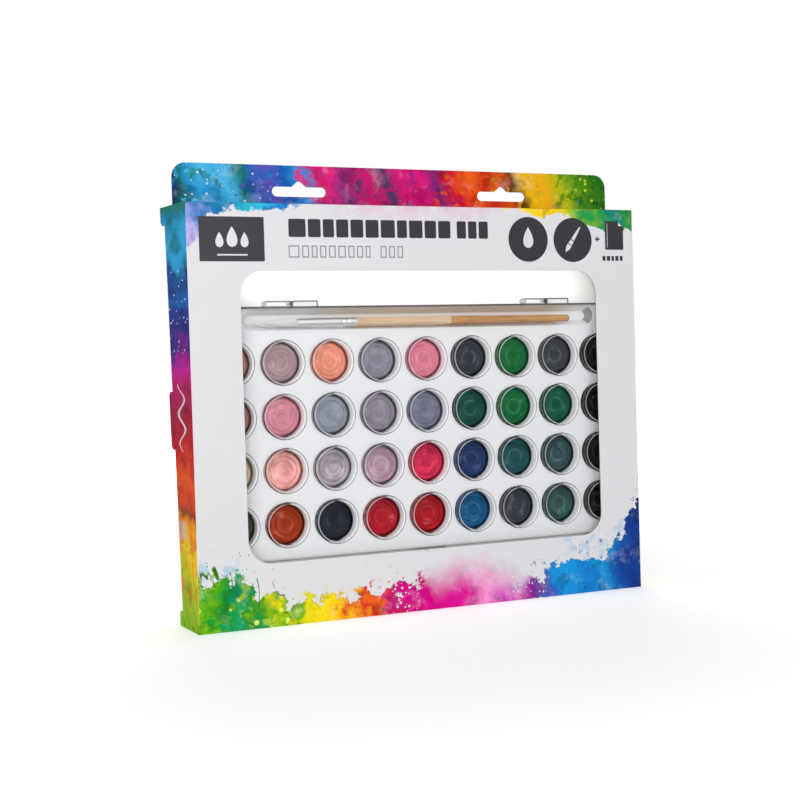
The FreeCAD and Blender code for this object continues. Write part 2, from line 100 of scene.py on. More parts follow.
class Shader:
    """One material's node tree, with short calls that return sockets."""

    def __init__(self, name):
        self.material = bpy.data.materials.new(name)
        self.material.use_nodes = True
        self.tree = self.material.node_tree
        self.tree.nodes.clear()
        self.surface = self.node("ShaderNodeOutputMaterial").inputs["Surface"]

    def feed(self, socket, value):
        """Links a socket to another one, or sets it."""
        if isinstance(value, bpy.types.NodeSocket):
            self.tree.links.new(value, socket)
        elif socket.type == "RGBA":
            socket.default_value = (*value, 1.0)
        else:
            socket.default_value = value

    def node(self, kind, inputs=(), **settings):
        """A new node; inputs are given by their names or numbers."""
        made = self.tree.nodes.new(kind)
        for key, value in settings.items():
            setattr(made, key, value)
        for key, value in dict(inputs).items():
            self.feed(made.inputs[key], value)
        return made

    def math(self, operation, *values):
        return self.node("ShaderNodeMath", enumerate(values), operation=operation).outputs[0]

    def chain(self, operation, values):
        total = values[0]
        for value in values[1:]:
            total = self.math(operation, total, value)
        return total

    def add(self, *values):
        return self.chain("ADD", values)

    def sub(self, a, b):
        return self.math("SUBTRACT", a, b)

    def mul(self, *values):
        return self.chain("MULTIPLY", values)

    def above(self, a, b):
        return self.math("GREATER_THAN", a, b)

    def below(self, a, b):
        return self.math("LESS_THAN", a, b)

    def either(self, *values):
        return self.chain("MAXIMUM", values)

    def flip(self, value):
        return self.math("SUBTRACT", 1.0, value)

    def ease(self, value, low, high):
        """0 below low, 1 above high, smooth between; low above high turns it round."""
        inputs = {"Value": value, "From Min": low, "From Max": high}
        return self.node("ShaderNodeMapRange", inputs, interpolation_type="SMOOTHSTEP").outputs["Result"]

    def span(self, value, start, full, fading, end):
        """0 up to start, 1 from full to fading, and 0 again from end."""
        return self.mul(self.ease(value, start, full), self.ease(value, end, fading))

    def size(self, value):
        """value without its sign."""
        return self.math("ABSOLUTE", value)

    def distance(self, a, b, least=0.0):
        return self.math("SQRT", self.add(self.mul(a, a), self.mul(b, b), least))

    def place(self):
        """The point on the piece, in millimetres."""
        return self.tone(self.node("ShaderNodeTexCoord").outputs["Object"], 1 / MM)

    def facing(self):
        """The way the piece's surface faces."""
        return self.split(self.node("ShaderNodeTexCoord").outputs["Normal"])

    def split(self, vector):
        return tuple(self.node("ShaderNodeSeparateXYZ", {0: vector}).outputs)

    def join(self, x, y, z=0.0):
        return self.node("ShaderNodeCombineXYZ", enumerate((x, y, z))).outputs[0]

    def beside(self, x, y, shift):
        """The same place somewhere else in a pattern, so that two patterns differ."""
        return self.join(self.add(x, shift), y)

    def noise(self, vector, scale, detail=3.0, rough=0.55, colour=False):
        inputs = {"Vector": vector, "Scale": scale, "Detail": detail, "Roughness": rough}
        return self.node("ShaderNodeTexNoise", inputs).outputs["Color" if colour else "Fac"]

    def cells(self, vector, scale):
        """How far a point is from its cell's middle, and three numbers picked for that cell."""
        made = self.node("ShaderNodeTexVoronoi", {"Vector": vector, "Scale": scale})
        return made.outputs["Distance"], self.split(made.outputs["Color"])

    def dots(self, vector, scale, share, smallest=0.08, largest=0.34):
        """Round drops of mixed sizes; share is how many of the cells have one."""
        distance, chance = self.cells(vector, scale)
        radius = self.add(smallest, self.mul(chance[1], largest - smallest))
        return self.mul(self.ease(distance, radius, self.mul(radius, 0.8)),
                        self.below(chance[0], share))

    def ramp(self, value, stops, low, high):
        """Colours, in percent, at places between low and high."""
        share = self.mul(self.sub(value, low), 1 / (high - low))
        made = self.node("ShaderNodeValToRGB", {0: share})
        elements = made.color_ramp.elements
        while len(elements) < len(stops):
            elements.new(0.5)
        for element, (at, *colour) in zip(elements, stops):
            element.position = (at - low) / (high - low)
            element.color = [c / 100 for c in colour] + [1.0]
        return made.outputs[0]

    def across(self, value, stops):
        """Colours at places across the carton's front."""
        return self.ramp(value, stops, -HALF_WIDTH, HALF_WIDTH)

    def profile(self, value, heights):
        """Heights, in millimetres, at places across the carton's front."""
        tallest = float(max(height for _, height in heights))
        stops = [(at, *[100 * height / tallest] * 3) for at, height in heights]
        return self.mul(self.across(value, stops), tallest)

    def mix(self, share, a, b):
        """a where share is 0 and b where it is 1."""
        return self.node("ShaderNodeMix", {0: share, 6: a, 7: b}, data_type="RGBA").outputs[2]

    def tone(self, colour, factor):
        """A colour or a place times a number."""
        inputs = {0: colour, "Scale": factor}
        return self.node("ShaderNodeVectorMath", inputs, operation="SCALE").outputs[0]

    def bump(self, height, distance, strength=1.0):
        inputs = {"Strength": strength, "Distance": distance, "Height": height}
        return self.node("ShaderNodeBump", inputs).outputs[0]

    def principled(self, colour, roughness, normal=None, **constants):
        inputs = {key.replace("_", " "): value for key, value in constants.items()}
        if normal is not None:
            inputs["Normal"] = normal
        inputs.update({"Base Color": colour, "Roughness": roughness})
        return self.node("ShaderNodeBsdfPrincipled", inputs).outputs[0]

    def blend(self, share, one, two):
        """mix for whole surfaces."""
        return self.node("ShaderNodeMixShader", enumerate((share, one, two))).outputs[0]

    def see_through(self, tint):
        return self.node("ShaderNodeBsdfTransparent", {"Color": tint}).outputs[0]

    def clear(self, glass, tint):
        """Glass that lets lamps through to what it covers."""
        shadow = self.node("ShaderNodeLightPath").outputs["Is Shadow Ray"]
        return self.blend(shadow, glass, self.see_through(tint))

    def done(self, surface):
        self.feed(self.surface, surface)
        return self.material


# ---- printed board ----

# washes: a place in millimetres, then red, green and blue in percent
BOTTOM_WASH = [                # across the front, left to right
    (-137, 16, 44, 1), (-128, 6, 34, 1), (-119, 1, 30, 3), (-111, 1, 34, 15), (-104, 2, 26, 2),
    (-97, 26, 46, 1), (-89, 34, 52, 1), (-85, 12, 36, 1), (-80, 70, 62, 1), (-66, 86, 66, 1),
    (-50, 88, 50, 1), (-41, 66, 3, 2), (-34, 80, 14, 1), (-28, 62, 2, 12), (-19, 50, 1, 16),
    (-8, 60, 0.2, 22), (14, 66, 1, 30), (36, 82, 30, 58), (50, 55, 6, 42), (62, 20, 2, 22),
    (74, 2, 14, 50), (86, 1, 30, 68), (100, 1, 19, 54), (112, 1, 27, 60), (124, 1, 8, 36),
    (137, 1, 4, 24),
]
BOTTOM_HEIGHT = [              # millimetres up from the bottom edge
    (-137, 28), (-126, 28), (-114, 27), (-104, 19), (-94, 18), (-86, 11), (-76, 14), (-62, 13),
    (-48, 12), (-42, 17), (-33, 12), (-22, 15), (-12, 17), (-4, 27), (16, 34), (34, 33), (46, 27),
    (56, 20), (68, 13), (80, 20), (98, 24), (112, 20), (124, 34), (132, 46), (137, 54),
]
TOP_WASH = [                   # across the front, left to right
    (-137, 44, 40, 74), (-130, 20, 28, 64), (-122, 1, 14, 36), (-110, 2, 40, 52), (-98, 3, 46, 72),
    (-89, 1, 14, 50), (-80, 10, 42, 76), (-50, 80, 50, 62), (30, 86, 60, 66), (52, 88, 66, 6),
    (82, 86, 58, 1), (99, 28, 50, 2), (110, 2, 30, 6), (124, 1, 22, 18), (137, 3, 28, 3),
]
TOP_HEIGHT = [                 # millimetres down from the top edge
    (-137, 25), (-131, 20), (-125, 7), (-116, 4), (-106, 6), (-94, 6), (-88, 5), (-80, 1), (-50, 0),
    (30, 0), (50, 1), (64, 4), (80, 6), (98, 6), (108, 11), (120, 17), (137, 15),
]
SIDE_WASH = [                  # up the side
    (0, 22, 50, 1), (12, 36, 54, 1), (24, 56, 54, 1), (34, 84, 60, 1), (48, 86, 48, 1),
    (57, 84, 26, 1), (63, 20, 5, 1), (69, 66, 5, 1), (82, 78, 9, 1), (98, 50, 1, 2),
    (112, 34, 1, 5), (126, 44, 1, 12), (138, 52, 1, 28), (147, 24, 1, 26), (155, 3, 2, 20),
    (168, 1, 4, 26), (178, 1, 12, 42), (186, 1, 5, 22), (194, 2, 30, 58), (206, 3, 36, 66),
    (214, 1, 24, 40), (221, 1, 16, 10), (227, 2, 20, 16),
]
HEADER_WASH = [                # across the back card
    (-137, 1, 4, 14), (-130, 1, 14, 12), (-121, 2, 28, 56), (-109, 8, 46, 74), (-98, 1, 18, 14),
    (-91, 2, 12, 42), (-82, 10, 8, 40), (-71, 1, 10, 42), (-60, 3, 24, 62), (-54, 50, 1, 12),
    (-45, 72, 2, 20), (-33, 24, 3, 20), (-22, 56, 1, 14), (-11, 5, 4, 12), (-2, 56, 1, 16),
    (12, 68, 1, 20), (22, 16, 2, 18), (32, 58, 1, 3), (44, 80, 12, 1), (56, 52, 2, 1),
    (66, 66, 10, 1), (74, 10, 3, 1), (82, 80, 48, 1), (96, 78, 40, 1), (108, 42, 46, 1),
    (118, 8, 28, 1), (137, 1, 12, 1),
]
WHITE = (0.80, 0.80, 0.822)
PLAIN = (0.76, 0.755, 0.74)    # the carton's inside
CORE = (0.42, 0.40, 0.385)     # cut edges
# the window's cut edges: core grey darkened further with painted shade
SHADED_WINDOW_CORE = (0.20, 0.19, 0.185)
WALL_X = 130.0                 # sideways faces further out than this are the carton's outer walls
MIDDLE_Z = 120.0               # the front's lower wash is below this, and its upper one above
NEAR_WINDOW_X = 125.0          # a cut edge within these is the window's
NEAR_WINDOW_Z = (20.0, 210.0)


def spread_places(s, u, v):
    """u and v pushed about as wet paint runs: far and soft, then near and ragged."""
    flat = s.join(u, v)
    far = s.split(s.noise(flat, 0.042, 3.0, 0.5, colour=True))
    near = s.split(s.noise(flat, 0.19, 5.0, 0.62, colour=True))
    moved = []
    for place, i in ((u, 0), (v, 1)):
        drift = s.mul(s.sub(far[i], 0.5), 62.0)
        fray = s.mul(s.sub(near[i], 0.5), 17.0)
        moved.append(s.add(place, drift, fray))
    return flat, moved[0], moved[1]


def pigment(s, flat, colour, watery):
    """Watered-down pools, dark pools with hard edges and grain in a wash."""
    pools = s.noise(flat, 0.075, 6.0, 0.62)
    thin = s.mix(0.55, colour, (0.86, 0.90, 0.94))
    colour = s.mix(s.mul(s.ease(pools, 0.53, 0.68), s.mul(watery, 2.0)), colour, thin)
    u, v, _ = s.split(flat)
    deep = s.noise(s.beside(u, v, 300.0), 0.07, 6.0, 0.60)
    colour = s.tone(colour, s.flip(s.mul(s.ease(deep, 0.54, 0.62), 0.34)))
    tide = s.span(deep, 0.470, 0.488, 0.490, 0.506)
    colour = s.tone(colour, s.flip(s.mul(tide, 0.18)))
    grain = s.noise(flat, 1.6, 3.0, 0.7)
    return s.tone(colour, s.add(1.08, s.mul(grain, 0.30)))


def board(s, colour, printed, flat):
    """Faintly fibrous and dented, and smoother where it is printed."""
    fibre = s.noise(s.place(), 2.2, 4.0, 0.6)
    dents = s.noise(s.place(), 0.03, 2.0, 0.5)
    roughness = s.add(0.30, s.mul(s.noise(flat, 0.6, 2.0), 0.16), s.mul(s.flip(printed), 0.35))
    height = s.add(s.mul(dents, 6.0), s.mul(fibre, 0.35))
    return s.principled(colour, roughness, s.bump(height, 0.00012, 0.45), Specular_IOR_Level=0.03)


def carton_places(s):
    """Where a point is on the unfolded carton, u across and v up, and what sort of face it is on."""
    x, y, z = s.split(s.place())
    nx, ny, nz = s.facing()
    depth = s.sub(y, FRONT_Y)
    left = s.mul(s.below(nx, -0.5), s.below(x, -WALL_X))
    right = s.mul(s.above(nx, 0.5), s.above(x, WALL_X))
    top = s.mul(s.above(nz, 0.5), s.above(z, CARTON_TOP - 0.3))
    under = s.mul(s.below(nz, -0.5), s.below(z, 0.3))
    front = s.mul(s.below(ny, -0.4), s.below(depth, 0.4))
    u = s.add(x, s.mul(left, s.sub(s.sub(-HALF_WIDTH, depth), x)),
              s.mul(right, s.sub(s.add(HALF_WIDTH, depth), x)))
    v = s.add(z, s.mul(top, depth), s.mul(under, s.mul(depth, -1.0)))
    flat, run_u, run_v = spread_places(s, u, v)
    edge_on = s.mul(s.below(depth, BOARD), s.below(s.size(ny), 0.5))
    in_window = s.mul(edge_on, s.below(s.size(x), NEAR_WINDOW_X),
                      s.above(z, NEAR_WINDOW_Z[0]), s.below(z, NEAR_WINDOW_Z[1]))
    return SimpleNamespace(
        u=u, v=v, flat=flat, run_u=run_u, run_v=run_v,
        top=top, walls=s.either(left, right, top), printed=s.either(left, right, top, under, front),
        in_window=in_window, back_edge=s.mul(s.above(ny, 0.7), s.above(depth, 2.0)),
        aside=s.beside(u, v, 71.0),
        ragged=s.sub(s.noise(flat, 0.11, 7.0, 0.64), 0.5),
        patches=s.noise(s.beside(u, v, 500.0), 0.10, 5.0, 0.6))


def bottom_reach(s, c):
    """Notes how far inside the wash along the bottom and right edges a point is, and its soft stretch."""
    c.soft = s.span(c.u, -12.0, 2.0, 52.0, 66.0)
    c.height = s.profile(c.u, BOTTOM_HEIGHT)
    rise = s.mul(c.ragged, s.sub(52.0, s.mul(c.soft, 34.0)))
    c.reach = s.sub(s.add(c.height, rise), c.v)


def bottom_cover(s, c):
    """Where the bottom wash lies: drops ahead of a firm edge, and pink blooms that fade out softly."""
    fade = s.add(0.5, s.mul(s.ease(c.ragged, 0.0, 0.2), 4.0), s.mul(c.soft, 26.0))
    firm = s.flip(c.soft)
    drops = s.mul(s.dots(c.flat, 0.23, 0.40), s.ease(c.reach, -13.0, -1.0), firm)
    fine_drops = s.mul(s.dots(c.flat, 0.55, 0.34), s.ease(c.reach, -20.0, -4.0), firm)
    cover = s.either(s.ease(c.reach, 0.0, fade), drops, fine_drops)
    speckled = s.either(s.span(c.u, -32.0, -27.0, -14.0, -8.0), s.span(c.u, 46.0, 52.0, 70.0, 76.0))
    bare_dots = s.mul(s.dots(c.aside, 0.50, 0.7, 0.12, 0.44), speckled)
    return s.mul(cover, s.flip(bare_dots))


def top_cover(s, c):
    """Where the thin wash along the top edge lies."""
    thick = s.profile(c.u, TOP_HEIGHT)
    hang = s.sub(c.v, s.sub(s.sub(CARTON_TOP, thick), s.mul(c.ragged, 22.0)))
    return s.mul(s.ease(hang, 0.0, 1.6), s.ease(thick, 0.0, 1.5))


def thin_stalks(s, c):
    """Thin leaning lines, all over."""
    lean = s.add(s.mul(c.u, 0.13), s.mul(c.v, 0.05))
    waves = s.noise(s.join(lean, s.mul(c.v, 0.03)), 1.0, 1.0, 0.4)
    return s.ease(s.size(s.sub(waves, 0.5)), 0.014, 0.006)


def grass_blades(s, c):
    """The stalks that stand up out of the green end of the bottom wash."""
    length = s.mul(s.noise(s.join(s.mul(c.u, 0.30), 7.0), 1.0, 1.0), 34.0)
    tip = s.add(c.height, length, -11.0)
    return s.mul(c.stalks, s.ease(c.u, -78.0, -86.0), s.ease(s.sub(tip, c.v), 0.0, 2.0),
                 s.ease(s.sub(c.height, c.v), 14.0, 5.0))


def bottom_colour(s, c):
    """The bottom wash's own colours, with its spots, its grass and a darker rim."""
    wash = s.across(c.run_u, BOTTOM_WASH)
    shifted = s.across(s.add(c.run_u, 13.0), BOTTOM_WASH)
    wash = s.mix(s.mul(s.ease(c.patches, 0.53, 0.57), s.ease(c.u, -84.0, -92.0)), wash, shifted)
    yellow = s.mul(s.dots(c.aside, 0.22, 0.5, 0.1, 0.42), s.ease(c.u, -72.0, -82.0), s.ease(c.v, 22.0, 12.0))
    wash = s.mix(s.mul(yellow, 0.85), wash, (0.80, 0.84, 0.12))
    violet = s.mul(s.dots(s.join(c.u, s.add(c.v, 53.0)), 0.42, 0.5), s.span(c.u, -32.0, -26.0, -14.0, -8.0))
    wash = s.mix(s.mul(violet, 0.9), wash, (0.30, 0.01, 0.36))
    wash = s.mix(s.mul(c.grass, 0.8), wash, (0.01, 0.10, 0.01))
    rim = s.mul(s.span(c.reach, 0.0, 0.6, 0.8, 2.6), s.flip(c.soft))
    return s.tone(wash, s.flip(s.mul(rim, 0.30)))


def wall_colour(s, c):
    """The side walls' wash, with stars, leaks and stalks, and the top wall's, which is the header's."""
    wash = s.ramp(c.run_v, SIDE_WASH, 0.0, CARTON_TOP)
    stars = s.mul(s.dots(c.flat, 0.40, 0.45, 0.06, 0.30), s.span(c.v, 140.0, 156.0, 190.0, 200.0))
    wash = s.mix(stars, wash, (0.80, 0.86, 0.92))
    leaks = s.mul(s.ease(s.noise(c.aside, 0.09, 4.0), 0.50, 0.56), s.span(c.v, 14.0, 24.0, 50.0, 70.0))
    wash = s.mix(s.mul(leaks, 0.85), wash, (0.84, 0.22, 0.01))
    wash = s.mix(s.mul(c.stalks, s.ease(c.v, 26.0, 12.0)), wash, (0.01, 0.09, 0.01))
    return s.mix(c.top, wash, s.across(c.run_u, HEADER_WASH))


def bare_board(s, c):
    """White outside, duller inside and grey where it is cut, darker round the window with painted shade,
    with pale blots and a blush over it.
    """
    cut = s.mul(s.flip(c.printed), s.either(c.in_window, c.back_edge))
    # painted shade on the cut edges round the window
    core = s.mix(c.in_window, CORE, SHADED_WINDOW_CORE)
    paper = s.mix(cut, s.mix(c.printed, PLAIN, WHITE), core)
    paper = s.tone(paper, s.add(0.985, s.mul(s.noise(c.flat, 0.02, 2.0), 0.03)))
    corners = s.either(s.ease(c.u, -110.0, -118.0), s.span(c.u, 80.0, 88.0, 122.0, 128.0))
    blots = s.mul(s.ease(s.noise(c.aside, 0.13, 5.0, 0.6), 0.49, 0.60), corners, 0.60)
    paper = s.mix(s.mul(blots, s.ease(c.reach, -15.0, -4.0)), paper, (0.34, 0.58, 0.80))
    blush = s.mul(s.ease(c.v, 214.0, 229.0), s.span(c.u, -66.0, -40.0, 30.0, 56.0))
    return s.mix(s.mul(blush, s.ease(c.patches, 0.36, 0.60), 0.55), paper, (0.84, 0.40, 0.58))


def carton_material():
    """White coated board with washes along its edges and all over its walls."""
    s = Shader("printed_carton_board")
    c = carton_places(s)
    bottom_reach(s, c)
    c.stalks = thin_stalks(s, c)
    c.grass = grass_blades(s, c)
    cover = s.either(bottom_cover(s, c), top_cover(s, c), c.grass, c.walls)
    face = s.mix(s.above(c.v, MIDDLE_Z), bottom_colour(s, c), s.across(c.run_u, TOP_WASH))
    wash = s.mix(c.walls, face, wall_colour(s, c))
    ink = pigment(s, c.flat, wash, s.mul(s.flip(c.walls), 0.12))
    colour = s.mix(s.mul(cover, c.printed), bare_board(s, c), ink)
    return s.done(board(s, colour, c.printed, c.flat))


def back_card_material():
    """Washed all over in front, with stars to the left and leaves to the right, and plain behind."""
    s = Shader("printed_back_card")
    x, _, z = s.split(s.place())
    ny = s.facing()[1]
    front = s.below(ny, -0.5)
    flat, run_u, _ = spread_places(s, x, z)
    slant = s.add(s.mul(s.sub(run_u, x), 0.55), x, s.mul(s.sub(z, 240.0), 0.35))
    wash = s.across(slant, HEADER_WASH)
    shifted = s.across(s.add(run_u, 14.0), HEADER_WASH)
    patches = s.noise(s.beside(x, z, 500.0), 0.12, 5.0, 0.6)
    wash = s.mix(s.mul(s.ease(patches, 0.54, 0.58), 0.85), wash, shifted)
    stars = s.mul(s.dots(flat, 0.34, 0.5, 0.06, 0.26), s.ease(x, -70.0, -96.0))
    wash = s.mix(stars, wash, (0.80, 0.88, 0.93))
    leaves = s.mul(s.dots(s.beside(x, z, 91.0), 0.30, 0.5, 0.1, 0.42), s.ease(x, 96.0, 112.0))
    wash = s.mix(leaves, wash, (0.50, 0.62, 0.03))
    plain = s.tone((0.74, 0.735, 0.72), s.add(0.96, s.mul(s.noise(flat, 0.5, 4.0), 0.06)))
    cut = s.mul(s.flip(front), s.below(ny, 0.5))
    colour = s.mix(front, s.mix(cut, plain, CORE), pigment(s, flat, wash, 0.12))
    return s.done(board(s, colour, front, flat))


def plain_board_material():
    s = Shader("plain_board")
    place = s.place()
    fibre = s.noise(place, 1.8, 4.0, 0.6)
    colour = s.tone((0.86, 0.86, 0.85), s.add(0.95, s.mul(fibre, 0.09)))
    return s.done(s.principled(colour, s.add(0.55, s.mul(fibre, 0.2)), s.bump(fibre, 0.00005, 0.5)))


def paper_material():
    s = Shader("watercolour_paper")
    place = s.place()
    tooth = s.noise(place, 1.1, 4.0, 0.6)
    clouds = s.noise(place, 0.05, 2.0)
    colour = s.tone((0.93, 0.93, 0.925), s.add(0.97, s.mul(clouds, 0.05)))
    return s.done(s.principled(colour, s.add(0.75, s.mul(tooth, 0.15)), s.bump(tooth, 0.00012, 0.6),
                               Specular_IOR_Level=0.25))


def ink_material(name, colour):
    s = Shader(name)
    place = s.place()
    grain = s.noise(place, 0.9, 4.0, 0.6)
    shade = s.tone(colour, s.add(0.86, s.mul(grain, 0.28)))
    return s.done(s.principled(shade, s.add(0.26, s.mul(grain, 0.14)), s.bump(grain, 0.00002, 0.3)))


# ---- plastics, paint, brushes ----

def ear_outline(s, x, z, lefts, top):
    """1 in the thin border of the hinge ears that start at lefts."""
    across = None
    for left in lefts:
        within = s.sub(EAR_WIDTH / 2, s.size(s.sub(x, left + EAR_WIDTH / 2)))
        across = within if across is None else s.either(across, within)
    edge = s.math("SMOOTH_MIN", s.sub(top, z), across, 1.6)
    return s.mul(s.ease(edge, 0.95, 0.55), s.above(z, CASE_TOP + 0.2))


def white_plastic_material():
    """Glossy white, with painted shade in the brush groove, along the low and right edges and round the
    ears, and a painted reflection of the wood.
    """
    s = Shader("white_moulded_plastic")
    place = s.place()
    x, y, z = s.split(place)
    nx, _, nz = s.facing()
    sideways = s.size(nx)
    depth = s.sub(y, FRONT_Y)
    groove_floor = DECK + GROOVE_DEPTH
    colour = s.tone((0.925, 0.93, 0.94), s.add(0.975, s.mul(s.noise(place, 0.05, 3.0), 0.05)))

    # painted shade along the low and right edges of the deck, where the window frame shades it
    edges = s.add(s.mul(s.ease(z, 36.2, 33.8), 0.42), s.mul(s.ease(z, 42.0, 35.0), 0.12),
                  s.mul(s.ease(x, 106.0, 117.0), 0.16))
    colour = s.mix(edges, colour, (0.14, 0.12, 0.105))

    # painted shade on the groove's overhanging slopes, its upper half and the brow under the top edge,
    # warmed by a painted reflection of the wood beside them
    overhang = s.either(s.mul(nz, -1.0), s.mul(sideways, 0.6))
    groove_slope_shade = s.mul(overhang, s.above(z, ROW_Z["a"] + 15.0), s.above(depth, DECK - 0.2),
                  s.ease(depth, groove_floor + 1.0, groove_floor))
    trough = s.mul(s.above(depth, DECK + 0.3), s.below(depth, groove_floor + 0.1),
                   s.above(z, GROOVE_Z - 6.0))
    upper_half = s.mul(trough, s.ease(z, GROOVE_Z, GROOVE_Z + 4.0), 0.75)
    brow = s.mul(s.ease(z, CASE_TOP - 2.2, CASE_TOP - 0.2), s.below(z, CASE_TOP + 0.1))
    wood_reflection = s.span(x, -72.0, -58.0, 96.0, 108.0)
    tint = s.mix(wood_reflection, (0.80, 0.80, 0.795), (0.74, 0.67, 0.59))
    colour = s.mix(s.either(s.ease(groove_slope_shade, 0.04, 0.55), s.mul(brow, 0.9), upper_half), colour, tint)
    # painted shade on the groove's right end wall
    end_wall_shade = s.mul(trough, s.ease(x, 108.5, 111.0), s.ease(sideways, 0.15, 0.5))
    colour = s.mix(s.mul(end_wall_shade, 0.7), colour, (0.11, 0.11, 0.115))
    # more painted shade darkening the brow
    colour = s.tone(colour, s.flip(s.mul(brow, 0.42)))

    # painted dark outline round the tray's hinge ears
    colour = s.mix(ear_outline(s, x, z, WHITE_EARS, WHITE_EAR_TOP), colour, (0.13, 0.13, 0.135))
    roughness = s.add(0.16, s.mul(s.noise(place, 0.25, 4.0), 0.14))
    orange_peel = s.bump(s.noise(place, 0.8, 2.0), 0.00003, 0.35)
    return s.done(s.principled(colour, roughness, orange_peel, Specular_IOR_Level=0.55))


def nearest_pan(s, x, z):
    """How far right of the nearest pan's middle a point is, and how far from that middle."""
    offs = []
    for value, first, pitch in ((x, FIRST_COLUMN_X, PAN_PITCH_X), (z, ROW_Z["d"], PAN_PITCH_Z)):
        whole = s.add(s.mul(s.sub(value, first), 1 / pitch), 0.5)
        offs.append(s.sub(s.mul(s.math("FRACT", whole), pitch), pitch / 2))
    return offs[0], s.distance(offs[0], offs[1])


def clear_plastic_material(name, tint, shine, line_tint, lid=False):
    """Clear thin-walled plastic: shine is the share it mirrors when seen straight on, and its rounded
    edges and walls seen end-on let through only line_tint, a painted shade standing in for refraction."""
    s = Shader(name)
    place = s.place()
    x, y, z = s.split(place)
    depth = s.sub(y, FRONT_Y)
    slant = s.node("ShaderNodeLayerWeight", {"Blend": 0.5}).outputs["Facing"]
    rounded = s.span(s.size(s.facing()[1]), 0.08, 0.25, 0.85, 0.97)
    # painted shade along rounded edges seen at a slant, standing in for refraction
    line = s.mul(rounded, s.ease(slant, 0.15, 0.60))
    if lid:
        # painted dark line along the lid's top edge and painted dark outline round its ears
        end_on = s.mul(s.above(z, CASE_TOP - 0.9), s.below(z, CASE_TOP + 0.1))
        line = s.either(line, end_on, ear_outline(s, x, z, CLEAR_EARS, CLEAR_EAR_TOP))
        passed = s.mix(line, tint, line_tint)
    else:
        off_x, radius = nearest_pan(s, x, z)
        on_lip = s.below(depth, RIM + 0.7)
        # painted dark outline ring on the lip just outside the cup wall
        outline = s.mul(s.ease(radius, CUP_WALL + 0.05, CUP_WALL + 0.30), on_lip)
        passed = s.mix(outline, s.mix(line, tint, line_tint), (0.30, 0.29, 0.30))
    scuffs = s.ease(s.noise(place, 0.5, 5.0, 0.7), 0.58, 0.80)
    gloss = s.node("ShaderNodeBsdfGlossy", {
        "Color": (1.0, 1.0, 1.0), "Roughness": s.add(0.03, s.mul(scuffs, 0.12)),
        "Normal": s.bump(s.noise(place, 0.045, 2.0), 0.00005)})
    mirrored = s.add(shine, s.mul(s.math("POWER", slant, 5.0), 1.0 - shine))
    surface = s.blend(mirrored, s.see_through(passed), gloss.outputs[0])
    if not lid:
        # painted highlights: a white arc along the inner lip on the left, and a white crescent in the wall
        # on the right
        lip_highlight = s.mul(s.ease(off_x, 1.0, -5.0), s.ease(radius, CUP_WALL - 0.25, CUP_WALL - 0.50),
                         on_lip, 0.8)
        wall_highlight = s.mul(s.ease(off_x, 1.0, 6.0), s.ease(radius, CUP_WALL + 0.05, CUP_WALL - 0.10), 0.68)
        surface = s.blend(s.either(lip_highlight, wall_highlight), surface, s.principled((0.95, 0.95, 0.96), 0.25))
    return s.done(s.clear(surface, tint))


def tape_material():
    s = Shader("clear_tape_film")
    place = s.place()
    wrinkle = s.noise(place, 0.35, 3.0)
    film = s.principled((0.86, 0.86, 0.84), s.add(0.12, s.mul(wrinkle, 0.2)), s.bump(wrinkle, 0.0003, 0.6))
    return s.done(s.blend(s.add(0.10, s.mul(wrinkle, 0.22)), s.see_through((1.0, 1.0, 1.0)), film))


def scaled(colour, gain, lift=0.0):
    return tuple(min(1.0, c * gain + lift) for c in colour)


